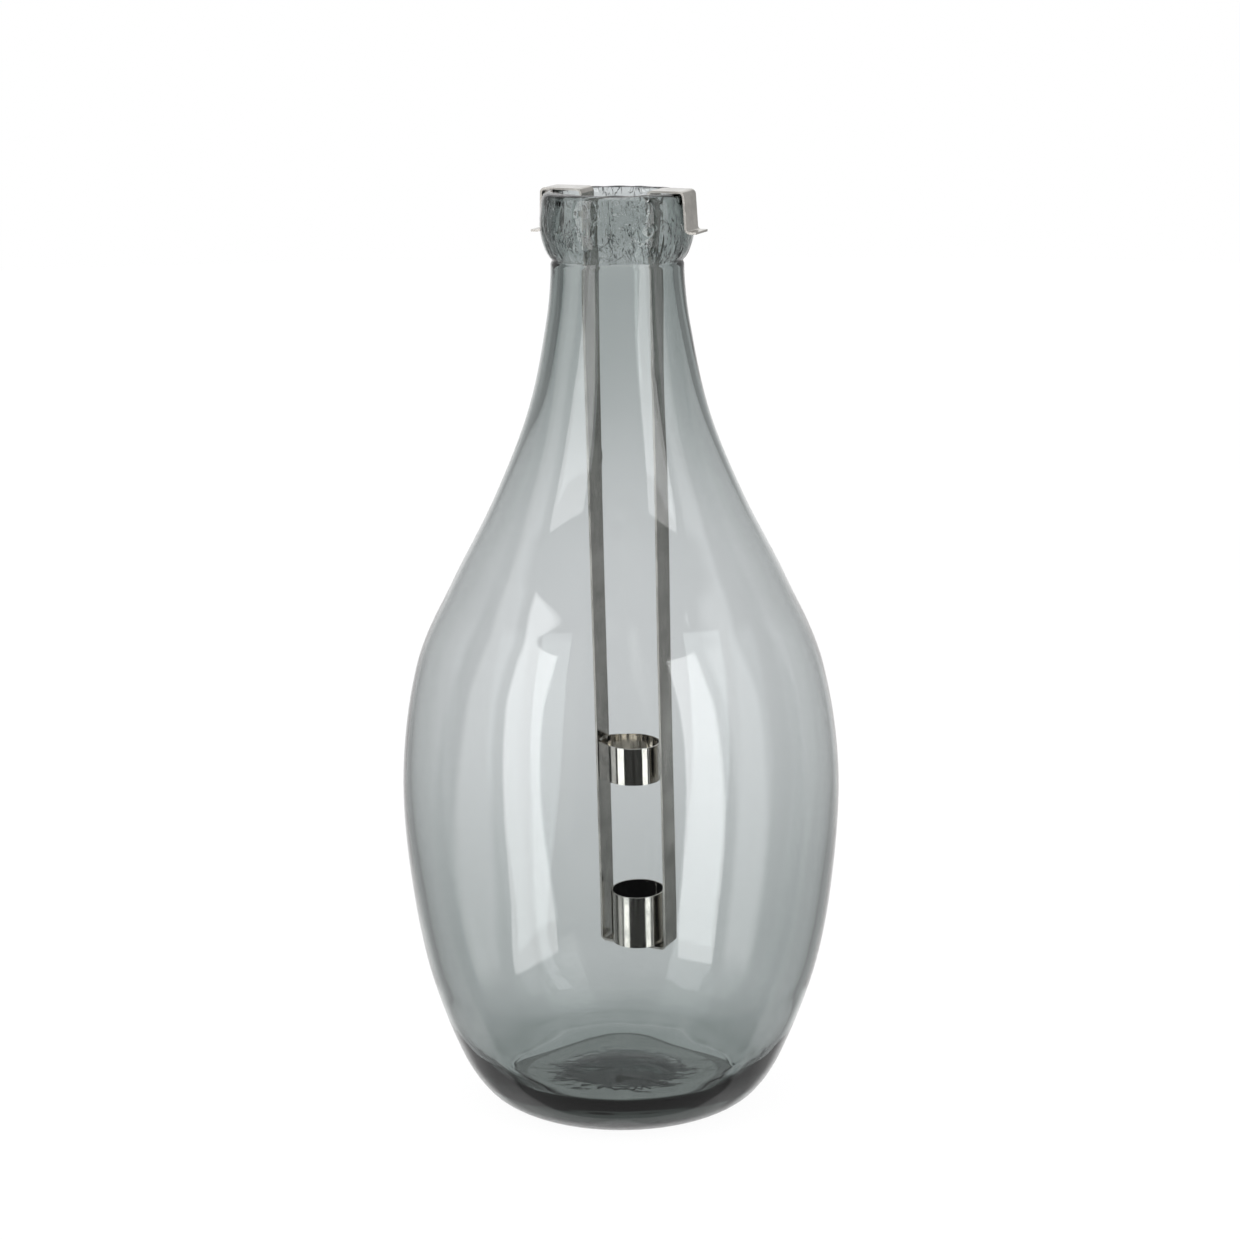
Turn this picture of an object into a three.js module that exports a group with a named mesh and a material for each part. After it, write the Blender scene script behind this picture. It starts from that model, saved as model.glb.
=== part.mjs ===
// A candle bottle: a blown glass bottle with a bent steel strip hung in its neck. The strip carries a ring that
// guides a dinner candle and, in the bottom of its U, a cup that the candle stands in.
// Millimetres, +Z up. The bottle stands on z = 0 with its axis on Z, and the strip lies across the mouth along X.
import * as THREE from "three";

// Glass bottle
const BOTTLE_HEIGHT = 430;
const BOTTLE_SEGMENTS = 64;
const FOOT_OUTER_R = 48;
const FOOT_INNER_R = 40;
const PUNT_RISE = 7;
const FLOOR_R = 54;
const FLOOR_THICKNESS = 10;
const WALL = 2.5;
const LOW_WALL = 4.3;
const LOW_FADE_FROM = 60;
const LOW_FADE_TO = 210;
const HEEL_WALL = 14.5;
const HEEL_FADE = 16.5;
const NECK_WALL = 5.6;
const NECK_FADE_FROM = 255;
const NECK_FADE_TO = 395;
// Outside of the bottle from the heel to the groove under the collar, as [radius, height].
const BODY_OUTLINE = [
  [FOOT_OUTER_R, 0],
  [64.4, 5.4],
  [79, 28],
  [95.4, 80],
  [102.7, 148],
  [95.3, 210],
  [78.3, 250],
  [57.5, 290],
  [41.6, 330],
  [33.2, 370],
  [30.7, 390],
  [30.4, 399.5],
];
// Outside of the collar, from the groove to the edge of the lip.
const COLLAR_OUTLINE = [
  [30.4, 399.5],
  [33.4, 406],
  [35, 414],
  [34.4, 424],
  [33.6, 428.6],
  [31.8, BOTTLE_HEIGHT],
];
// Inside of the mouth, which flares with the collar, from the neck to the lip.
const MOUTH_BOTTOM = 394;
const MOUTH_OUTLINE = [
  [24.9, MOUTH_BOTTOM],
  [25.5, 401],
  [27.8, 409],
  [28.3, 417],
  [28.1, 425],
  [29, BOTTLE_HEIGHT],
];
// The inside wall starts and ends this far from the floor's edge and the mouth, so each joins it in a curve.
const FLOOR_BLEND = 6;
const MOUTH_BLEND = 8;
const OUTSIDE_STEPS = 32;
const INSIDE_STEPS = 22;
const COLLAR_STEPS = 7;
const MOUTH_STEPS = 5;
const PUNT_STEPS = 5;

// Hanger strip
const STRIP_THICKNESS = 1;
const STRIP_WIDTH = 12.5;
const STRIP_HEIGHT = 363;
const LEG_SPACING = 33.8;
const LEG_SHIFT = 1.4;
const HOOK_TOP_X = 35.6;
const HOOK_LOW_X = 36.6;
// The hooks are bent by hand, so one reaches lower than the other.
const LEFT_HOOK_DROP = 19.3;
const RIGHT_HOOK_DROP = 17.9;
const TAB_TIP_X = 41.6;
const BEND_R = 2;

// The strip is narrow and the hand-made lip isn't level, so the strip hangs a little off plumb, its foot back.
const HANG_TILT = THREE.MathUtils.degToRad(2.5);
const HANG_HEIGHT = BOTTLE_HEIGHT + 0.6;

// Guide ring, an oval pulled towards the leg it's welded to
const RING_R = 12.6;
const RING_STRETCH = 1.1;
const RING_SHIFT = -1.2;
const RING_WALL = 0.7;
const RING_HEIGHT = 18.2;
const RING_BOTTOM = -278.9;
const RING_BACK_HALF = 6;
const RING_BACK_BEND_R = 1;

// Cup
const CUP_R = 13;
const CUP_WALL = 0.8;
const CUP_HEIGHT = 25;
const CUP_FLOOR_THICKNESS = 1;
const CUP_FLOOR_SIDES = 64;
const CUP_SEAM_ANGLE = THREE.MathUtils.degToRad(70);
const CUP_SEAM_GAP = 0.5;

// Space left between pieces that touch, and the finest turn of a bent line
const GAP = 0.3;
const ARC_STEP = THREE.MathUtils.degToRad(5);

function material(color, metalness, roughness, opacity = 1) {
  return new THREE.MeshStandardMaterial({
    color,
    metalness,
    roughness,
    opacity,
    transparent: opacity < 1,
  });
}

const glass = material(0x9aa8a2, 0, 0.05, 0.35);
const nickel = material(0xb9b6ae, 1, 0.18);

function named(name, geometry, surface) {
  const mesh = new THREE.Mesh(geometry, surface);
  mesh.name = name;
  return mesh;
}

function smooth(outline, steps) {
  const points = outline.map(([r, z]) => new THREE.Vector2(r, z));
  return new THREE.SplineCurve(points).getPoints(steps);
}

// The glass is thickest at the heel, thins to WALL at the shoulder and thickens again towards the neck.
function wallAt(z) {
  const heel = (HEEL_WALL - LOW_WALL) * Math.exp(-z / HEEL_FADE);
  const low = (LOW_WALL - WALL) * (1 - THREE.MathUtils.smoothstep(z, LOW_FADE_FROM, LOW_FADE_TO));
  const neck = (NECK_WALL - WALL) * THREE.MathUtils.smoothstep(z, NECK_FADE_FROM, NECK_FADE_TO);
  return WALL + heel + low + neck;
}

// Points inside an outline that runs upwards, each a wall's thickness in from it.
function insideOf(outline) {
  return outline.slice(1).map((point, i) => {
    const along = point.clone().sub(outline[i]).normalize();
    const inward = new THREE.Vector2(-along.y, along.x);
    return point.clone().addScaledVector(inward, wallAt(point.y));
  });
}

// The floor rises to the middle of the punt, inside and out, on a cosine.
function puntProfile(edgeR, edgeZ) {
  return Array.from({ length: PUNT_STEPS + 1 }, (_, i) => {
    const share = i / PUNT_STEPS;
    const lift = (PUNT_RISE * (1 + Math.cos(Math.PI * share))) / 2;
    return new THREE.Vector2(edgeR * share, edgeZ + lift);
  });
}

function outsideProfile() {
  const punt = puntProfile(FOOT_INNER_R, 0);
  const body = smooth(BODY_OUTLINE, OUTSIDE_STEPS);
  const collar = smooth(COLLAR_OUTLINE, COLLAR_STEPS);
  return [...punt, ...body, ...collar.slice(1)];
}

// The inside runs from the middle of the floor up the wall and out at the mouth.
function insideProfile() {
  const lowest = FLOOR_THICKNESS + FLOOR_BLEND;
  const highest = MOUTH_BOTTOM - MOUTH_BLEND;
  const floor = puntProfile(FLOOR_R, FLOOR_THICKNESS);
  const wall = insideOf(smooth(BODY_OUTLINE, INSIDE_STEPS));
  const body = wall.filter((point) => point.y > lowest && point.y < highest);
  return [...floor, ...body, ...smooth(MOUTH_OUTLINE, MOUTH_STEPS)];
}

function bottleGeometry() {
  const profile = [...outsideProfile(), ...insideProfile().reverse()];
  return new THREE.LatheGeometry(profile, BOTTLE_SEGMENTS).rotateX(Math.PI / 2);
}

// A line offset sideways by a distance, with mitred corners. An open line's ends are offset square.
function offsetLine(points, distance, closed) {
  const count = points.length;
  const first = points[0].clone().multiplyScalar(2).sub(points[1]);
  const last = points[count - 1].clone().multiplyScalar(2).sub(points[count - 2]);
  const around = closed ? [points[count - 1], ...points, points[0]] : [first, ...points, last];
  return points.map((point, i) => {
    const before = point.clone().sub(around[i]).normalize();
    const after = around[i + 2].clone().sub(point).normalize();
    const along = before.add(after).normalize();
    const reach = distance / along.dot(after);
    return point.clone().add(new THREE.Vector2(-along.y, along.x).multiplyScalar(reach));
  });
}

// The edge-on outline of sheet metal that follows an open line of points.
function openBand(points, thickness) {
  const left = offsetLine(points, thickness / 2, false);
  const right = offsetLine(points, -thickness / 2, false);
  return new THREE.Shape([...right, ...left.reverse()]);
}

// The edge-on outline of sheet metal that follows a closed, anticlockwise loop of points.
function closedBand(points, thickness) {
  const band = new THREE.Shape(offsetLine(points, -thickness / 2, true));
  band.holes.push(new THREE.Path(offsetLine(points, thickness / 2, true)));
  return band;
}

function arcPoints(centre, radius, from, to) {
  const steps = Math.max(2, Math.round(Math.abs(to - from) / ARC_STEP));
  return Array.from({ length: steps + 1 }, (_, i) => {
    const angle = from + ((to - from) * i) / steps;
    return new THREE.Vector2(centre.x + radius * Math.cos(angle), centre.y + radius * Math.sin(angle));
  });
}

// A line through corners, with each inner corner rounded to the bend radius.
function bentLine(corners, radius) {
  const inner = corners.slice(1, -1).flatMap((corner, i) => {
    const back = corners[i].clone().sub(corner).normalize();
    const on = corners[i + 2].clone().sub(corner).normalize();
    const half = Math.acos(THREE.MathUtils.clamp(back.dot(on), -1, 1)) / 2;
    const middle = back.clone().add(on).normalize();
    const centre = corner.clone().addScaledVector(middle, radius / Math.sin(half));
    const start = corner.clone().addScaledVector(back, radius / Math.tan(half));
    const end = corner.clone().addScaledVector(on, radius / Math.tan(half));
    const from = start.clone().sub(centre).angle();
    let sweep = end.clone().sub(centre).angle() - from;
    sweep -= 2 * Math.PI * Math.round(sweep / (2 * Math.PI));
    return arcPoints(centre, radius, from, from + sweep);
  });
  return [corners[0], ...inner, corners[corners.length - 1]];
}

// One strip: tab, hook over the lip, leg, U under the cup, leg, hook, tab. Its top span's underside is at z = 0.
function stripGeometry() {
  const top = STRIP_THICKNESS / 2;
  const bottom = top - STRIP_HEIGHT + STRIP_THICKNESS;
  const leftLeg = LEG_SHIFT - LEG_SPACING / 2;
  const rightLeg = LEG_SHIFT + LEG_SPACING / 2;
  const corners = [
    [-TAB_TIP_X, top - LEFT_HOOK_DROP],
    [-HOOK_LOW_X, top - LEFT_HOOK_DROP],
    [-HOOK_TOP_X, top],
    [leftLeg, top],
    [leftLeg, bottom],
    [rightLeg, bottom],
    [rightLeg, top],
    [HOOK_TOP_X, top],
    [HOOK_LOW_X, top - RIGHT_HOOK_DROP],
    [TAB_TIP_X, top - RIGHT_HOOK_DROP],
  ].map(([x, z]) => new THREE.Vector2(x, z));
  const band = openBand(bentLine(corners, BEND_R), STRIP_THICKNESS);
  const geometry = new THREE.ExtrudeGeometry(band, { depth: STRIP_WIDTH, bevelEnabled: false });
  return geometry.rotateX(Math.PI / 2).translate(0, STRIP_WIDTH / 2, 0);
}

// A band round the candle whose two straight cheeks run to a flat back, which is spot-welded to the leg.
// The oval is laid out as a circle, so the cheeks are its tangents, and then stretched along X.
function ringGeometry() {
  const radius = RING_R - RING_WALL / 2;
  const back = GAP + RING_WALL / 2 - (LEG_SPACING - STRIP_THICKNESS) / 2 - RING_SHIFT;
  const toBack = new THREE.Vector2(back / RING_STRETCH, RING_BACK_HALF);
  const tangent = toBack.angle() - Math.acos(radius / toBack.length());
  const stretched = (point) => new THREE.Vector2(point.x * RING_STRETCH, point.y);
  const mirrored = (point) => new THREE.Vector2(point.x, -point.y);
  const round = arcPoints(new THREE.Vector2(), radius, -tangent, tangent).map(stretched);
  const cheek = round[round.length - 1];
  const corner = stretched(toBack);
  const backLine = bentLine([cheek, corner, mirrored(corner), mirrored(cheek)], RING_BACK_BEND_R);
  const band = closedBand([...round, ...backLine.slice(1, -1)], RING_WALL);
  return new THREE.ExtrudeGeometry(band, { depth: RING_HEIGHT, bevelEnabled: false });
}

// A strip of sheet rolled into a tube, with its seam left open by a hair.
function cupWallGeometry() {
  const radius = CUP_R - CUP_WALL / 2;
  const halfGap = CUP_SEAM_GAP / 2 / radius;
  const from = CUP_SEAM_ANGLE + halfGap;
  const round = arcPoints(new THREE.Vector2(), radius, from, from + 2 * (Math.PI - halfGap));
  return new THREE.ExtrudeGeometry(openBand(round, CUP_WALL), { depth: CUP_HEIGHT, bevelEnabled: false });
}

function cupFloorGeometry() {
  const radius = CUP_R - CUP_WALL - GAP;
  const disc = new THREE.CylinderGeometry(radius, radius, CUP_FLOOR_THICKNESS, CUP_FLOOR_SIDES);
  return disc.rotateX(Math.PI / 2).translate(0, 0, CUP_FLOOR_THICKNESS / 2);
}

function insert() {
  const ring = named("guide_ring", ringGeometry(), nickel.clone());
  ring.position.set(LEG_SHIFT + RING_SHIFT, 0, RING_BOTTOM);
  const cup = new THREE.Group();
  cup.position.set(LEG_SHIFT, 0, 2 * STRIP_THICKNESS - STRIP_HEIGHT + GAP);
  cup.add(named("cup_wall", cupWallGeometry(), nickel.clone()));
  cup.add(named("cup_floor", cupFloorGeometry(), nickel.clone()));
  const group = new THREE.Group();
  group.add(named("hanger_strip", stripGeometry(), nickel.clone()), ring, cup);
  group.position.z = HANG_HEIGHT;
  group.rotation.x = HANG_TILT;
  return group;
}

const candleBottle = new THREE.Group();
candleBottle.add(named("glass_bottle", bottleGeometry(), glass), insert());

export default candleBottle;
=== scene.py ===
# The looks of the candle bottle: smoke-grey blown glass with a bent nickel strip hung in its neck.
# Metres, in the CAD's frame. The bottle's surface is turned from the CAD's own profile and given the
# waves and tool marks of hand-blown glass. The sheet metal keeps the CAD's shape and gets worn edges.
import math
import random

import bmesh
import bpy
import numpy as np
from mathutils import Euler, Matrix, Vector


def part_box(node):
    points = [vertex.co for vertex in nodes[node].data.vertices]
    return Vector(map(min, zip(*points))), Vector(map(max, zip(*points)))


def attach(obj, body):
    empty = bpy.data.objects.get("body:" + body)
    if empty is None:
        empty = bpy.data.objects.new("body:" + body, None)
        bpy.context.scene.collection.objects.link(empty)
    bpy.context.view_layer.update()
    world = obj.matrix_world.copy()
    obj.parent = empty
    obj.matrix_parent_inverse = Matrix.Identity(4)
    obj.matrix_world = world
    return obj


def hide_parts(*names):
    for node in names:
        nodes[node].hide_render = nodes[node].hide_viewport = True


MM = 0.001
TURN = 2 * math.pi
SEED = 20
MERGE_WITHIN = 1e-6
WHITE = (1, 1, 1, 1)
BLACK = (0, 0, 0, 1)

# Camera, round the bottle's axis
CAMERA_AZIMUTH = math.radians(26.5)
CAMERA_DISTANCE = 1.3
CAMERA_HEIGHT = 0.53
CAMERA_PITCH = math.radians(-12.92)
CAMERA_ROLL = math.radians(-0.37)
CAMERA_LENS = 83.04
CAMERA_SEES_TO = 50
SENSOR = 36

# How finely the bottle's surface is cut: the collar and the inner floor have the fine step
SIDES = 320
PROFILE_STEP = 1.8 * MM
FINE_STEP = 0.6 * MM
FINE_FROM = 392 * MM
INNER_FLOOR_TO = 18 * MM
FINE_FLOOR_TO = 70 * MM

# Where the inside wall is redrawn at a smooth distance from the outside
EVEN_WALL_FROM = 24 * MM
EVEN_WALL_TO = 388 * MM
WALL_FIT_DEGREE = 9

# Waves in the glass: turns round the axis, length (metres, or any unit where only the angle counts),
# number of terms. The random draws are made in this order.
WAVES = {
    "whole": ((2, 8), (0.09, 0.35), 14),
    "slow_in": ((1, 5), (0.1, 0.3), 9),
    "tool_out": ((6, 22), (0.03, 0.2), 12),
    "tool_in": ((7, 26), (0.02, 0.2), 12),
    "floor": ((3, 9), (0.014, 0.05), 10),
    "pontil": ((4, 16), (0.005, 0.016), 14),
    "heel": ((4, 14), (0.008, 0.028), 14),
    "floor_edge": ((5, 23), (1, 2), 9),
    "ragged": ((3, 41), (1, 2), 14),
}
ALONG_RADIUS = ("floor", "pontil")
ALONG_NOTHING = ("floor_edge", "ragged")
WAVE_WEIGHTS = (0.4, 1)

# How high each wave is, and the heights or radii between which it comes in or goes out
WHOLE_HIGH = 0.25 * MM
SLOW_IN_HIGH = 0.05 * MM
TOOL_HIGH = 0.05 * MM
FLOOR_HIGH = 0.06 * MM
HEEL_HIGH = 0.04 * MM
MIDDLE_STILL = (2 * MM, 40 * MM)
FOOT_STILL = (2 * MM, 14 * MM)
FLOOR_STILL = (INNER_FLOOR_TO, INNER_FLOOR_TO + 20 * MM)
FLOOR_ENDS = (INNER_FLOOR_TO, INNER_FLOOR_TO + 14 * MM)
HEEL_BEGINS = (10 * MM, 20 * MM)
HEEL_ENDS = (25 * MM, 50 * MM)

# Small hollows and ridges: number, then the ranges of height, width, height span and depth.
# The marks and drips are the tools' work at the collar, the seeds are bubbles in the wall.
COLLAR_HEIGHTS = (0.402, 0.426)
MARKS = (26, COLLAR_HEIGHTS, (0.5 * MM, 1.3 * MM), (1 * MM, 5 * MM), (0.1 * MM, 0.35 * MM))
SEEDS = (30, (0.05, 0.39), (0.3 * MM, 0.8 * MM), (0.5 * MM, 2.5 * MM), (0.05 * MM, 0.18 * MM))
DRIPS = (14, COLLAR_HEIGHTS, (0.5 * MM, 1.5 * MM), (2 * MM, 7 * MM), (0.15 * MM, 0.4 * MM))

# Collar: the crease at its root, its thicker inside, and the ring of a burst blister on its outside
COLLAR_FROM = 399.5 * MM
COLLAR_BEGINS = (COLLAR_FROM - 3 * MM, COLLAR_FROM + 3 * MM)
CREASE_HALF_WIDTH = 0.9 * MM
CREASE_DEPTH = 0.7 * MM
COLLAR_THICKENED = 0.4 * MM
THICK_BEGINS = (COLLAR_FROM - MM, COLLAR_FROM + 4 * MM)
THICK_ENDS = (423 * MM, 428 * MM)
BLISTER_ANGLE = math.radians(318)
BLISTER_HEIGHT = 415 * MM
BLISTER_R = 2.3 * MM
BLISTER_RIM = 0.7 * MM
BLISTER_RISE = 0.45 * MM

# Low wall and floor: the thinner wall, and the groove with a wavering edge round the floor
LOW_WALL_THINNED = 1.4 * MM
LOW_WALL_BEGINS = (9 * MM, 15 * MM)
LOW_WALL_ENDS = (30 * MM, 62 * MM)
FLOOR_EDGE_R = 54 * MM
FLOOR_GROOVE_HALF_WIDTH = 0.8 * MM
FLOOR_GROOVE_DEPTH = 0.7 * MM
FLOOR_EDGE_WAVER = 0.5 * MM
FLOOR_EDGE_WAVER_WIDTH = 7 * MM

# The scar that the pontil rod left under the floor
PONTIL_R = 27 * MM
PONTIL_RAGGED = 0.09
PONTIL_EDGE_SOFT = 1.2 * MM
PONTIL_FOOT = 0.6 * MM
PONTIL_THICKNESS = 1.2 * MM
PONTIL_BELOW = 8 * MM
PONTIL_ROUGH = 0.12 * MM
PONTIL_ROUGH_BEGINS = (0, 4 * MM)

# Glass: each metre absorbs (1 - colour) * density of each of red, green and blue
GLASS_IOR = 1.5
GLASS_COLOUR = (0.5625, 0.605, 0.59, 1)
GLASS_DENSITY = 200

# Sheet metal: worn edges, and how squarely a face has to look outward or along an axis (a cosine)
EDGE_WEAR = 0.16 * MM
EDGE_STEPS = 2
EDGE_OVER = math.radians(40)
FLAT_WITHIN = math.radians(0.6)
FACES_INWARD = -0.5
FACES_ALONG = 0.7

# Metals: tint, least and most roughness, how fine the rolling lines are along each axis
METALS = {
    "strip_nickel": ((0.62, 0.6, 0.56), 0.1, 0.26, (1, 1, 0.08)),
    "holder_nickel": ((0.68, 0.65, 0.6), 0.04, 0.14, (1, 1, 0.05)),
    "cut_edge": ((0.5, 0.48, 0.45), 0.4, 0.6, (1, 1, 1)),
    "cup_nickel": ((0.68, 0.65, 0.6), 0.1, 0.24, (1, 1, 0.03)),
}
TARNISHED = 0.72

# Weld metal on the ring's left cheek: how far along Y from its middle and below its top, in millimetres
WELDS = ((-4.2, 0.6), (1.4, 1.2), (-1.5, 9))
WELD_SIZE = (0.7 * MM, 1.1 * MM, 0.9 * MM)
WELD_IN = 0.35 * MM
WELD_LUMPS = 14
LUMP_SWELL = 0.3
LUMP_NARROW = 8

# The shadow below the bottle, which falls a little towards the camera: how light it is under the
# middle, under the rest of the floor, and under the foot and in front of it
SHADE_R = 58 * MM
SHADE_TOWARDS = 10 * MM
MIDDLE_R = 25 * MM
MIDDLE_STRETCH = 1.4
RIM_FROM = 46 * MM
SHADE_MIDDLE = 0.08
SHADE_FLOOR = 0.6
SHADE_RIM = 0.3

# Table: it lies just under the surface's lowest waves, and glows so that it's as white as the wall
TABLE_R = 4
TABLE_Z = -0.2 * MM
SHADE_Z = -0.18 * MM
TABLE_GLOW = 0.95
DISC_SIDES = 96

# Softboxes that light the metal and the table
SOFTBOXES = (("left", -52), ("right", 43.5))
SOFTBOX_WIDTH = 0.4
SOFTBOX_HEIGHT = 1.0
SOFTBOX_WATTS = 4
SOFTBOX_AWAY = 1.2
SOFTBOX_UP = 0.6
SOFTBOX_PITCH = math.radians(80)

# What shiny surfaces see: azimuth from and to, elevation from and to in degrees, soft edge, strength.
# Azimuth 0 is the camera's side. Two tall softboxes, two dimmer side panels, the wall behind in four
# patches, the ceiling and the floor.
PANELS = (
    (32, 55, -36, 36, 0.5, 3.4),
    (-66, -40, -36, 36, 0.5, 3.4),
    (60, 84, -37, 36, 4, 1.2),
    (-98, -72, -37, 36, 4, 1.2),
    (108, 252, -90, 90, 5, 0.42),
    (-252, -108, -90, 90, 5, 0.42),
    (148, 212, -90, 90, 12, 0.45),
    (-212, -148, -90, 90, 12, 0.45),
    (-400, 400, 42, 140, 12, 0.45),
    (-400, 400, -140, -42, 12, 0.35),
)
ROOM = 0.05

# What is seen through the glass: white all round, darker overhead, underfoot and past both sides.
# Azimuth from and to, elevation from and to in degrees, soft edge, how much is taken off.
DARK_SIDES = (
    (64, 108, -90, 90, 8, 0.8),
    (-72, -27, -90, 90, 8, 0.8),
    (-400, 400, 32, 140, 8, 0.8),
    (-400, 400, -140, -50, 8, 0.8),
)
DARKEST = 0.85
BEHIND_GLASS = (0.995, 0.995, 1.025, 1)
ONE_BOUNCE = 0.5


def link(obj):
    bpy.context.scene.collection.objects.link(obj)
    return obj


def mesh_of(bm, name):
    mesh = bpy.data.meshes.new(name)
    bm.to_mesh(mesh)
    bm.free()
    return mesh


# ---- glass bottle ------------------------------------------------------------------------------


def half_plane(mesh, tolerance=1e-5):
    """The CAD bottle's section on one side of the axis, as points (radius, height) along the line."""
    bm = bmesh.new()
    bm.from_mesh(mesh)
    bmesh.ops.remove_doubles(bm, verts=bm.verts, dist=MERGE_WITHIN)
    on = {v for v in bm.verts if abs(v.co.x) < tolerance and v.co.y > -tolerance}
    nexts = {v: [e.other_vert(v) for e in v.link_edges if e.other_vert(v) in on] for v in on}
    axis = sorted((v for v in on if v.co.y < tolerance), key=lambda v: v.co.z)
    line, before, here = [], None, axis[0]
    while here is not None:
        line.append((here.co.y, here.co.z))
        ahead = [v for v in nexts[here] if v is not before and (v.co.y > tolerance or v is axis[-1])]
        before, here = here, (ahead[0] if ahead and here is not axis[-1] else None)
    bm.free()
    return np.array(line)


def fine_line(line, level_start, level_end):
    """A cubic through the points, sampled along its length, most finely at the collar and the floor."""
    length = np.concatenate([[0], np.cumsum(np.hypot(*np.diff(line, axis=0).T))])
    slope = np.gradient(line, length, axis=0)
    if level_start:
        slope[0, 1] = 0
    if level_end:
        slope[-1, 1] = 0
    out = []
    for i in range(len(line) - 1):
        span = length[i + 1] - length[i]
        tallest, widest = line[i : i + 2, 1].max(), line[i : i + 2, 0].max()
        fine = tallest > FINE_FROM or (tallest < INNER_FLOOR_TO and widest < FINE_FLOOR_TO)
        count = max(1, round(span / (FINE_STEP if fine else PROFILE_STEP)))
        for t in np.arange(count) / count:
            a, b = line[i], line[i + 1]
            h = (2 * t**3 - 3 * t**2 + 1, t**3 - 2 * t**2 + t, 3 * t**2 - 2 * t**3, t**3 - t**2)
            out.append(h[0] * a + h[1] * span * slope[i] + h[2] * b + h[3] * span * slope[i + 1])
    out.append(line[-1])
    return np.array(out)


def nearest(points, path):
    """For each point, the closest place on a path of straight pieces."""
    start, along = path[:-1], np.diff(path, axis=0)
    reach = ((points[:, None] - start) * along).sum(2) / (along**2).sum(1)
    places = start + np.clip(reach, 0, 1)[:, :, None] * along
    gaps = np.linalg.norm(points[:, None] - places, axis=2)
    return places[np.arange(len(points)), gaps.argmin(axis=1)]


def even_wall(line, corners, top):
    """The section with its inside wall redrawn at a smooth distance from the outside."""

    def between(heights):
        return (heights > EVEN_WALL_FROM) & (heights < EVEN_WALL_TO)

    outside = line[: top + 1]
    corners = corners[corners[:, 1].argmax() + 1 :]
    corners = corners[between(corners[:, 1])]
    gaps = np.linalg.norm(corners - nearest(corners, outside), axis=1)
    wall = np.polynomial.Polynomial.fit(corners[:, 1], gaps, WALL_FIT_DEGREE)
    inside = (np.arange(len(line)) > top) & between(line[:, 1])
    points = line[inside]
    feet = nearest(points, outside)
    inward = (points - feet) / np.linalg.norm(points - feet, axis=1)[:, None]
    even = line.copy()
    even[inside] = feet + inward * wall(points[:, 1])[:, None]
    return even


def bottle_section(mesh):
    """The section as a fine line from under the floor, up the outside and down the inside, and its top.

    It is cut at the two corners where the wall meets the floor, so that they stay crisp.
    """
    corners = half_plane(mesh)
    turn = corners[:, 1].argmax()
    floor_edge = turn + corners[turn:, 1].argmin()
    wall_foot = floor_edge - 1
    wall = fine_line(corners[: wall_foot + 1], True, False)
    slope = fine_line(corners[wall_foot : floor_edge + 1], False, False)
    floor = fine_line(corners[floor_edge:], False, True)
    line = np.concatenate([wall[:-1], slope[:-1], floor])
    top = int(line[:, 1].argmax())
    return even_wall(line, corners, top), top


def outward(line):
    """The directions out of the glass along a section."""
    tangent = np.gradient(line, axis=0)
    tangent /= np.linalg.norm(tangent, axis=1)[:, None]
    return np.stack([tangent[:, 1], -tangent[:, 0]], axis=1)


def waves(rng, turns, lengths, count):
    """A smooth random surface over angle and height, about 1 high."""
    terms = []
    for _ in range(count):
        turn = rng.randint(*turns)
        rise = TURN / rng.uniform(*lengths)
        phase = rng.uniform(0, TURN)
        terms.append((turn, rise, phase, rng.uniform(*WAVE_WEIGHTS)))
    scale = 1 / math.sqrt(sum(w * w for *_, w in terms) / 2)

    def at(angle, z):
        return scale * sum(w * np.cos(n * angle + k * z + p) for n, k, p, w in terms)

    return at


def step_up(x, low, high):
    t = np.clip((x - low) / (high - low), 0, 1)
    return t * t * (3 - 2 * t)


def raised(x, begins, ends):
    return step_up(x, *begins) * (1 - step_up(x, *ends))


def bell(x, half_width):
    return np.exp(-((x / half_width) ** 2))


def dents(rng, count, heights, widths, tall, depths):
    """Small smooth hollows and ridges, as (angle, height, width, height span, depth)."""
    return [
        (
            rng.uniform(0, TURN),
            rng.uniform(*heights),
            rng.uniform(*widths),
            rng.uniform(*tall),
            rng.uniform(*depths) * rng.choice((-1, 1)),
        )
        for _ in range(count)
    ]


def dented(spots, angle, z, radius):
    total = np.zeros_like(angle * z)
    for at, height, width, tall, depth in spots:
        turn = (angle - at + math.pi) % TURN - math.pi
        total += depth * bell(turn * radius, width) * bell(z - height, tall)
    return total


def lift_outside(wave, spots, angle, z, radius):
    """How far the outside stands out from the section: waves, marks, the crease and the blister."""
    collar = step_up(z, *COLLAR_BEGINS)
    waving = WHOLE_HIGH * wave["whole"] + TOOL_HIGH * collar * wave["tool_out"]
    from_blister = np.hypot((angle - BLISTER_ANGLE) * radius, z - BLISTER_HEIGHT)
    return (
        step_up(z, *FOOT_STILL) * waving
        + dented(spots, angle, z, radius)
        - CREASE_DEPTH * bell(z - COLLAR_FROM, CREASE_HALF_WIDTH)
        + BLISTER_RISE * bell(from_blister - BLISTER_R, BLISTER_RIM)
    )


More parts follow.
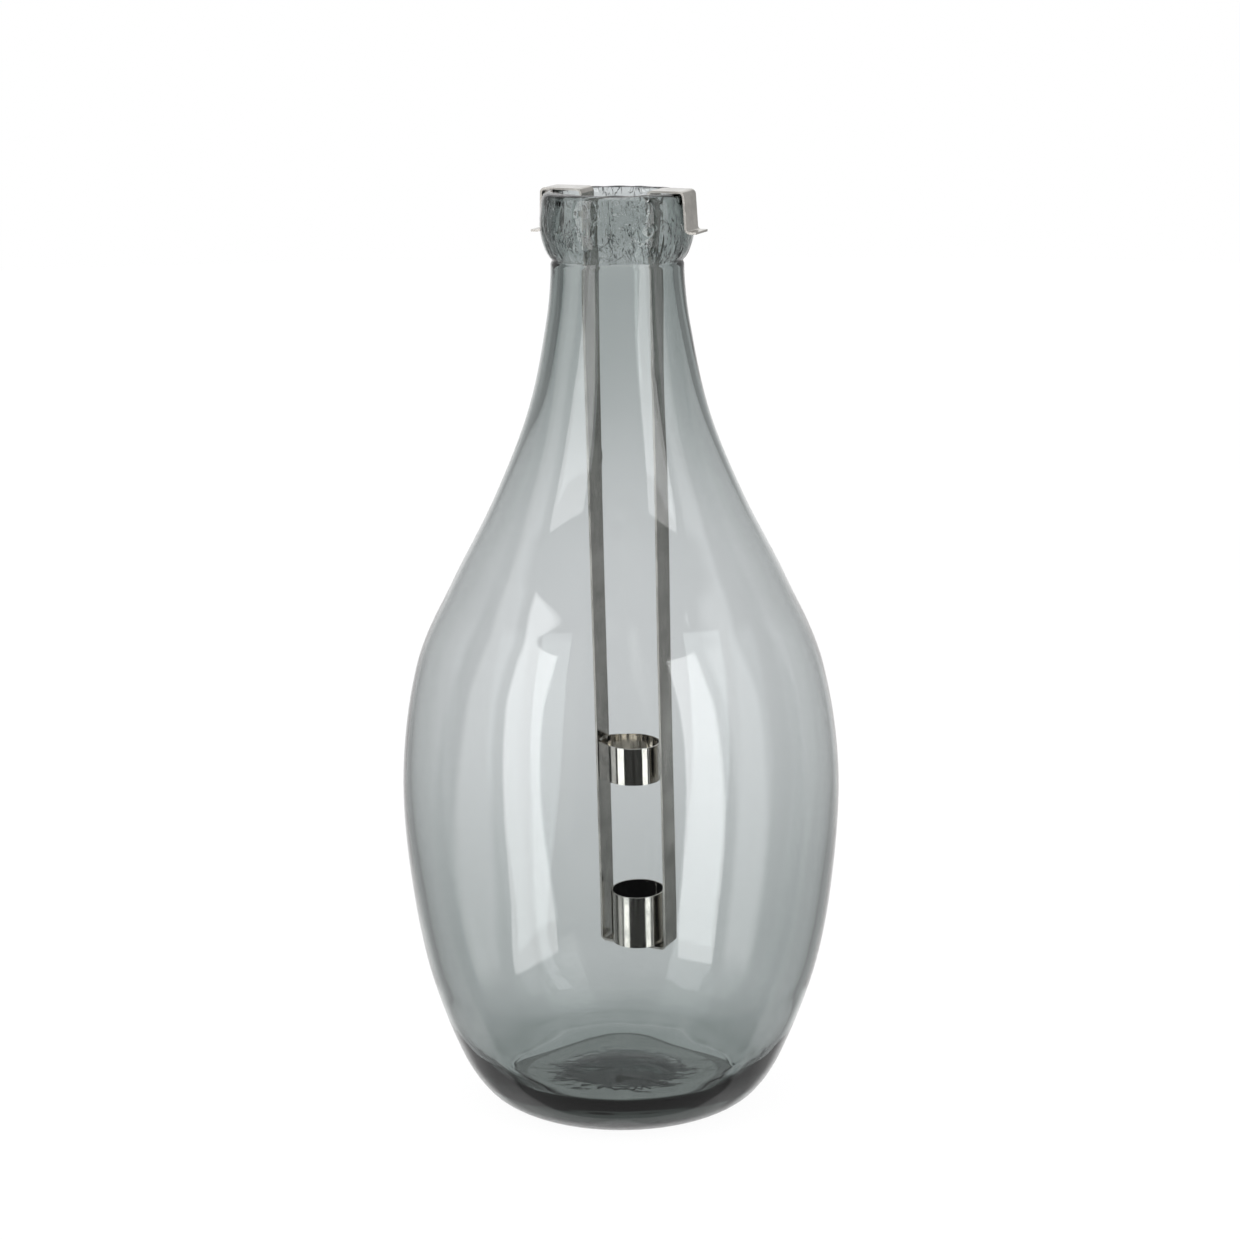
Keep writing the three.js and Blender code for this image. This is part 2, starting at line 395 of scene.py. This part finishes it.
def lift_inside(wave, spots, angle, z, radius):
    """How far the inside stands in from the section: waves, drips, and the wall and floor made to fit."""
    floor = 1 - step_up(z, *FLOOR_ENDS)
    waving = SLOW_IN_HIGH * wave["slow_in"] - WHOLE_HIGH * wave["whole"]
    return (
        step_up(z, *FLOOR_STILL) * waving
        + TOOL_HIGH * step_up(z, *COLLAR_BEGINS) * wave["tool_in"]
        + dented(spots, angle, z, radius)
        + FLOOR_HIGH * floor * wave["floor"]
        + HEEL_HIGH * raised(z, HEEL_BEGINS, HEEL_ENDS) * wave["heel"]
        - LOW_WALL_THINNED * raised(z, LOW_WALL_BEGINS, LOW_WALL_ENDS)
        - FLOOR_GROOVE_DEPTH * floor * bell(radius - FLOOR_EDGE_R, FLOOR_GROOVE_HALF_WIDTH)
        + COLLAR_THICKENED * raised(z, THICK_BEGINS, THICK_ENDS)
    )


def pontil_scar(wave, z, radius):
    """How far the glass left by the pontil rod hangs below the punt."""
    edge = PONTIL_R * (1 + PONTIL_RAGGED * wave["ragged"])
    scar = 1 - step_up(radius, edge - PONTIL_EDGE_SOFT, edge + PONTIL_EDGE_SOFT)
    rough = PONTIL_ROUGH * step_up(radius, *PONTIL_ROUGH_BEGINS) * wave["pontil"]
    return scar * (z < PONTIL_BELOW) * (np.clip(z - PONTIL_FOOT, 0, PONTIL_THICKNESS) + rough)


def turned_mesh(name, points):
    """A closed mesh of rings of points, whose first and last rings are single points on the axis."""
    rings = points[1:-1].reshape(-1, 3)
    verts = [tuple(p) for p in (*rings, points[0, 0], points[-1, 0])]
    last = len(rings) - SIDES
    faces = []
    for i in range(SIDES):
        j = (i + 1) % SIDES
        faces.append((len(rings), j, i))
        faces.append((len(rings) + 1, last + i, last + j))
        for a in range(0, last, SIDES):
            b = a + SIDES
            faces.append((a + i, a + j, b + j, b + i))
    mesh = bpy.data.meshes.new(name)
    mesh.from_pydata(verts, [], faces)
    mesh.shade_smooth()
    return mesh


def bottle_mesh(node):
    rng = random.Random(SEED)
    line, top = bottle_section(node.data)
    normal = outward(line)
    angle = np.arange(SIDES)[None, :] * TURN / SIDES
    radius, z = line[:, 0][:, None], line[:, 1][:, None]
    outside = np.arange(len(line))[:, None] <= top

    wave = {}
    for name, shape in WAVES.items():
        along = radius if name in ALONG_RADIUS else 0 * z if name in ALONG_NOTHING else z
        wave[name] = waves(rng, *shape)(angle, along)
    spots_out = dents(rng, *MARKS) + dents(rng, *SEEDS)
    spots_in = dents(rng, *DRIPS)

    lift_out = lift_outside(wave, spots_out, angle, z, radius)
    lift_in = lift_inside(wave, spots_in, angle, z, radius)
    lift = step_up(radius, *MIDDLE_STILL) * np.where(outside, lift_out, lift_in)
    lift = lift + outside * pontil_scar(wave, z, radius)

    near_edge = (1 - step_up(z, *FLOOR_ENDS)) * bell(radius - FLOOR_EDGE_R, FLOOR_EDGE_WAVER_WIDTH)
    waver = FLOOR_EDGE_WAVER * ~outside * near_edge * wave["floor_edge"]
    r = radius + normal[:, 0][:, None] * lift + waver
    h = z + normal[:, 1][:, None] * lift
    return turned_mesh("bottle_glass", np.stack([r * np.cos(angle), r * np.sin(angle), h], axis=2))


# ---- sheet metal -------------------------------------------------------------------------------


def worn(node, name):
    """The CAD's sheet-metal piece with its flat faces joined up and its edges rounded as by tumbling."""
    bm = bmesh.new()
    bm.from_mesh(node.data)
    bmesh.ops.remove_doubles(bm, verts=bm.verts, dist=MERGE_WITHIN)
    bmesh.ops.dissolve_limit(bm, angle_limit=FLAT_WITHIN, verts=bm.verts, edges=bm.edges)
    mesh = mesh_of(bm, name)
    mesh.shade_smooth()
    piece = link(bpy.data.objects.new(name, mesh))
    bevel = piece.modifiers.new("edges", "BEVEL")
    bevel.width = EDGE_WEAR
    bevel.segments = EDGE_STEPS
    bevel.limit_method = "ANGLE"
    bevel.angle_limit = EDGE_OVER
    bevel.use_clamp_overlap = True
    flat = piece.modifiers.new("flat_faces", "WEIGHTED_NORMAL")
    flat.mode = "FACE_AREA"
    flat.weight = 100
    return piece


def line_cup(cup, material):
    """Give the cup's inward-facing side its own material."""
    low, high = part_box("cup_wall")
    middle = (low + high) / 2
    cup.data.materials.append(material)
    for face in cup.data.polygons:
        out = face.center - middle
        out.z = 0
        if face.normal.dot(out.normalized()) < FACES_INWARD:
            face.material_index = 1


def shear_edges(strip, material):
    """Give the faces along Y, where the strip was cut from the sheet, their own material."""
    strip.data.materials.append(material)
    for face in strip.data.polygons:
        if abs(face.normal.y) > FACES_ALONG and abs(face.normal.z) < FACES_ALONG:
            face.material_index = 1


def weld_bead(name, centre, rng):
    """A spatter of weld metal: a flattened lump with a rough skin."""
    bm = bmesh.new()
    bmesh.ops.create_icosphere(bm, subdivisions=3, radius=1)
    lumps = []
    for _ in range(WELD_LUMPS):
        towards = Vector([rng.gauss(0, 1) for _ in range(3)]).normalized()
        lumps.append((towards, rng.uniform(-LUMP_SWELL, LUMP_SWELL)))
    for v in bm.verts:
        out = v.co.normalized()
        swell = sum(h * math.exp(-LUMP_NARROW * (1 - out.dot(d))) for d, h in lumps)
        v.co = Vector(a * b for a, b in zip(v.co * (1 + swell), WELD_SIZE)) + centre
    mesh = mesh_of(bm, name)
    mesh.shade_smooth()
    return link(bpy.data.objects.new(name, mesh))


# ---- materials ---------------------------------------------------------------------------------


def add(tree, kind, inputs=(), **values):
    node = tree.nodes.new(kind)
    for key, value in values.items():
        setattr(node, key, value)
    for key, value in dict(inputs).items():
        if isinstance(value, bpy.types.NodeSocket):
            tree.links.new(value, node.inputs[key])
        else:
            node.inputs[key].default_value = value
    return node


class Look:
    """A material with a Principled shader, and short ways to add nodes to it."""

    def __init__(self, name):
        self.material = bpy.data.materials.new(name)
        self.material.use_nodes = True
        self.tree = self.material.node_tree
        self.shader = self.tree.nodes["Principled BSDF"]
        self.place = add(self.tree, "ShaderNodeTexCoord").outputs["Object"]

    def set(self, **values):
        """Set or link the shader's inputs, with _ for each space in a name."""
        for name, value in values.items():
            socket = self.shader.inputs[name.replace("_", " ")]
            if isinstance(value, bpy.types.NodeSocket):
                self.tree.links.new(value, socket)
            else:
                socket.default_value = value

    def noise(self, scale, place=None, **values):
        inputs = {"Vector": place or self.place, "Scale": scale, **values}
        return add(self.tree, "ShaderNodeTexNoise", inputs).outputs[0]

    def stretched(self, scale):
        return add(self.tree, "ShaderNodeMapping", {"Vector": self.place, "Scale": scale}).outputs[0]

    def ranged(self, value, low=0.0, high=1.0, to_low=0.0, to_high=1.0):
        inputs = {0: value, 1: low, 2: high, 3: to_low, 4: to_high}
        return add(self.tree, "ShaderNodeMapRange", inputs).outputs[0]

    def product(self, a, b):
        return add(self.tree, "ShaderNodeMath", {0: a, 1: b}, operation="MULTIPLY").outputs[0]

    def length(self, vector):
        node = add(self.tree, "ShaderNodeVectorMath", {0: vector}, operation="LENGTH")
        return node.outputs["Value"]

    def bump(self, height, strength, distance, **values):
        inputs = {"Height": height, "Strength": strength, "Distance": distance, **values}
        return add(self.tree, "ShaderNodeBump", inputs).outputs[0]


def glass_material():
    """Smoke-grey glass, faintly rippled, with the scratches and blisters of the tools at the collar."""
    look = Look("smoke_glass")
    ripple = look.bump(look.noise(55, Detail=2), 0.05, 0.4 * MM)
    height = add(look.tree, "ShaderNodeSeparateXYZ", {0: look.place}).outputs[2]
    collar = look.ranged(height, COLLAR_FROM, COLLAR_FROM + 4 * MM)
    squiggle = look.noise(330, look.stretched((1, 1, 0.5)), Detail=3, Distortion=1.2)
    marks = look.ranged(squiggle, 0.57, 0.63)
    where = look.ranged(look.noise(70, Detail=1), 0.43, 0.53)
    worked = look.product(look.product(marks, where), collar)
    look.set(
        Base_Color=WHITE,
        Roughness=0.0,
        IOR=GLASS_IOR,
        Transmission_Weight=1,
        Normal=look.bump(worked, 1, 0.5 * MM, Normal=ripple),
    )
    absorbed = {"Color": GLASS_COLOUR, "Density": GLASS_DENSITY}
    smoke = add(look.tree, "ShaderNodeVolumeAbsorption", absorbed).outputs[0]
    look.tree.links.new(smoke, look.tree.nodes["Material Output"].inputs["Volume"])
    return look.material


def nickel_material(name, tint, low, high, grain):
    """Polished nickel: fine rolling lines, cloudy tarnish and a roughness that varies with both."""
    look = Look(name)
    rolled = look.noise(900, look.stretched(grain), Detail=4)
    cloud = look.noise(90, Detail=5, Roughness=0.65)
    tarnish = look.ranged(cloud, 0.42, 0.72)
    dull = tuple(c * TARNISHED for c in tint)
    colours = {0: tarnish, 6: (*tint, 1), 7: (*dull, 1)}
    look.set(
        Base_Color=add(look.tree, "ShaderNodeMix", colours, data_type="RGBA").outputs[2],
        Roughness=look.ranged(look.product(rolled, cloud), 0.1, 0.45, low, high),
        Normal=look.bump(rolled, 0.2, 0.03 * MM),
        Metallic=1,
    )
    return look.material


def near_black_material():
    """The cup's inside and floor, nearly black and rough."""
    look = Look("near_black")
    grain = look.noise(600, Detail=4)
    look.set(
        Base_Color=look.ranged(grain, to_low=0.004, to_high=0.016),
        Roughness=look.ranged(grain, to_low=0.55, to_high=0.8),
        Normal=look.bump(grain, 0.3, 0.1 * MM),
        Specular_IOR_Level=0.2,
    )
    return look.material


def floor_material():
    look = Look("white_table")
    look.set(
        Base_Color=look.ranged(look.noise(4), to_low=0.07, to_high=0.09),
        Roughness=1,
        Specular_IOR_Level=0,
        Emission_Color=WHITE,
        Emission_Strength=TABLE_GLOW,
    )
    return look.material


def shade_material():
    """The table in the bottle's shadow, darkest below the middle of the floor."""
    look = Look("shaded_table")
    ragged = look.noise(110, look.stretched((0.5, 1.6, 1)), Detail=6, Roughness=0.65)
    spread = look.ranged(ragged, 0.35, 0.65, 0.65, 1.5)
    out = look.length(look.stretched((1 / MIDDLE_STRETCH, 1, 1)))
    uneven = look.product(out, spread)
    inner = look.ranged(uneven, MIDDLE_R - MM, MIDDLE_R + MM, SHADE_MIDDLE, SHADE_FLOOR)
    rim = look.ranged(look.length(look.place), RIM_FROM, RIM_FROM + MM)
    levels = {0: rim, 2: inner, 3: SHADE_RIM}
    look.set(
        Emission_Strength=add(look.tree, "ShaderNodeMix", levels, data_type="FLOAT").outputs[0],
        Emission_Color=WHITE,
        Base_Color=BLACK,
        Specular_IOR_Level=0,
    )
    return look.material


# ---- studio ------------------------------------------------------------------------------------


def studio_world():
    world = bpy.data.worlds.new("studio")
    bpy.context.scene.world = world
    world.use_nodes = True
    tree = world.node_tree
    way = add(tree, "ShaderNodeTexCoord").outputs["Generated"]
    turned = add(tree, "ShaderNodeMapping", {"Vector": way, "Rotation": (0, 0, -CAMERA_AZIMUTH)})
    axes = add(tree, "ShaderNodeSeparateXYZ", {0: turned.outputs[0]}).outputs

    def math_node(operation, a, b=0.0, clamp=False):
        node = add(tree, "ShaderNodeMath", {0: a, 1: b}, operation=operation, use_clamp=clamp)
        return node.outputs[0]

    azimuth = math_node("ARCTAN2", axes[0], math_node("MULTIPLY", axes[1], -1.0))
    elevation = math_node("ARCSINE", axes[2])

    def between(value, low, high, soft):
        low, high, soft = (math.radians(x) for x in (low, high, soft))
        rise = math_node("MULTIPLY", math_node("SUBTRACT", value, low), 1 / soft, clamp=True)
        fall = math_node("MULTIPLY", math_node("SUBTRACT", high, value), 1 / soft, clamp=True)
        return math_node("MULTIPLY", rise, fall)

    def patches(panels):
        total = 0.0
        for left, right, low, high, soft, strength in panels:
            across = between(azimuth, left, right, soft)
            patch = math_node("MULTIPLY", across, between(elevation, low, high, soft))
            total = math_node("ADD", math_node("MULTIPLY", patch, strength), total)
        return total

    room = math_node("ADD", patches(PANELS), ROOM)
    path = add(tree, "ShaderNodeLightPath").outputs
    mirrored = math_node("GREATER_THAN", path["Glossy Depth"], ONE_BOUNCE)
    through = math_node("GREATER_THAN", path["Transmission Depth"], ONE_BOUNCE)
    shade = math_node("MULTIPLY", through, math_node("MINIMUM", patches(DARK_SIDES), DARKEST))
    plain = math_node("SUBTRACT", 1.0, shade)
    levels = {0: mirrored, 2: plain, 3: room}
    level = add(tree, "ShaderNodeMix", levels, data_type="FLOAT").outputs[0]
    hues = {0: through, 6: WHITE, 7: BEHIND_GLASS}
    hue = add(tree, "ShaderNodeMix", hues, data_type="RGBA").outputs[2]
    background = tree.nodes["Background"]
    tree.links.new(level, background.inputs["Strength"])
    tree.links.new(hue, background.inputs["Color"])


def flat_disc(name, radius, height, material):
    bm = bmesh.new()
    bmesh.ops.create_circle(bm, cap_ends=True, segments=DISC_SIDES, radius=radius)
    disc = link(bpy.data.objects.new(name, mesh_of(bm, name)))
    disc.location.z = height
    disc.data.materials.append(material)
    disc.visible_glossy = False
    return disc


def add_floor():
    """The table, and its shadow below the bottle, which is only seen through the glass."""
    floor = flat_disc("table", TABLE_R, TABLE_Z, floor_material())
    floor.visible_transmission = False
    shade = flat_disc("table_shadow", SHADE_R, SHADE_Z, shade_material())
    for vert in shade.data.vertices:
        vert.co.y -= SHADE_TOWARDS
    shade.rotation_euler.z = CAMERA_AZIMUTH
    shade.visible_camera = False
    shade.visible_diffuse = False
    shade.visible_shadow = False


def add_lights():
    for side, azimuth in SOFTBOXES:
        light = bpy.data.lights.new("softbox_" + side, "AREA")
        light.shape = "RECTANGLE"
        light.size = SOFTBOX_WIDTH
        light.size_y = SOFTBOX_HEIGHT
        light.energy = SOFTBOX_WATTS
        turn = CAMERA_AZIMUTH + math.radians(azimuth)
        lamp = link(bpy.data.objects.new("softbox_" + side, light))
        lamp.location = (SOFTBOX_AWAY * math.sin(turn), -SOFTBOX_AWAY * math.cos(turn), SOFTBOX_UP)
        lamp.rotation_euler = (SOFTBOX_PITCH, 0, turn)
        lamp.visible_glossy = False
        lamp.visible_transmission = False


def add_camera():
    data = bpy.data.cameras.new("camera")
    data.lens = CAMERA_LENS
    data.sensor_width = SENSOR
    data.clip_end = CAMERA_SEES_TO
    camera = link(bpy.data.objects.new("camera", data))
    place = Vector((math.sin(CAMERA_AZIMUTH), -math.cos(CAMERA_AZIMUTH), 0)) * CAMERA_DISTANCE
    place.z = CAMERA_HEIGHT
    tilt = Euler((math.radians(90) + CAMERA_PITCH, 0, CAMERA_AZIMUTH)).to_matrix()
    roll = Matrix.Rotation(CAMERA_ROLL, 3, "Z")
    camera.matrix_world = Matrix.Translation(place) @ (tilt @ roll).to_4x4()
    bpy.context.scene.camera = camera


# ---- putting it together -----------------------------------------------------------------------

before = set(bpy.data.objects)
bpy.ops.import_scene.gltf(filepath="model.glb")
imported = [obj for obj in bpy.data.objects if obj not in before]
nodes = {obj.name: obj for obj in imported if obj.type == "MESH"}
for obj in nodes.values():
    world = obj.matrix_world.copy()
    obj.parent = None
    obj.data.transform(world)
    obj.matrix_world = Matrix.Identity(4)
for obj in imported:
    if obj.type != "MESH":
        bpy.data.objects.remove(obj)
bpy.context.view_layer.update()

add_camera()
studio_world()
add_floor()
add_lights()
bpy.context.scene.view_settings.view_transform = "Standard"

bottle = link(bpy.data.objects.new("bottle_glass", bottle_mesh(nodes["glass_bottle"])))
bottle.data.materials.append(glass_material())
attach(bottle, "bottle")
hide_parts("glass_bottle")

metals = {name: nickel_material(name, *values) for name, values in METALS.items()}
# The cup's inward-facing side and its floor get a nearly black, rough surface.
near_black = near_black_material()
for node, name, metal in (
    ("hanger_strip", "strip", metals["strip_nickel"]),
    ("guide_ring", "ring", metals["holder_nickel"]),
    ("cup_wall", "cup_side", metals["cup_nickel"]),
    ("cup_floor", "cup_base", near_black),
):
    piece = worn(nodes[node], name)
    piece.data.materials.append(metal)
    if node == "cup_wall":
        line_cup(piece, near_black)
    if node == "hanger_strip":
        shear_edges(piece, metals["cut_edge"])
    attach(piece, "insert")
    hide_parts(node)

rng = random.Random(SEED + 1)
ring_low, ring_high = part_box("guide_ring")
ring_middle = (ring_low + ring_high) / 2
for i, (along, below) in enumerate(WELDS):
    centre = Vector((ring_low.x + WELD_IN, ring_middle.y + along * MM, ring_high.z - below * MM))
    bead = weld_bead("ring_weld_%d" % i, centre, rng)
    bead.data.materials.append(metals["strip_nickel"])
    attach(bead, "insert")
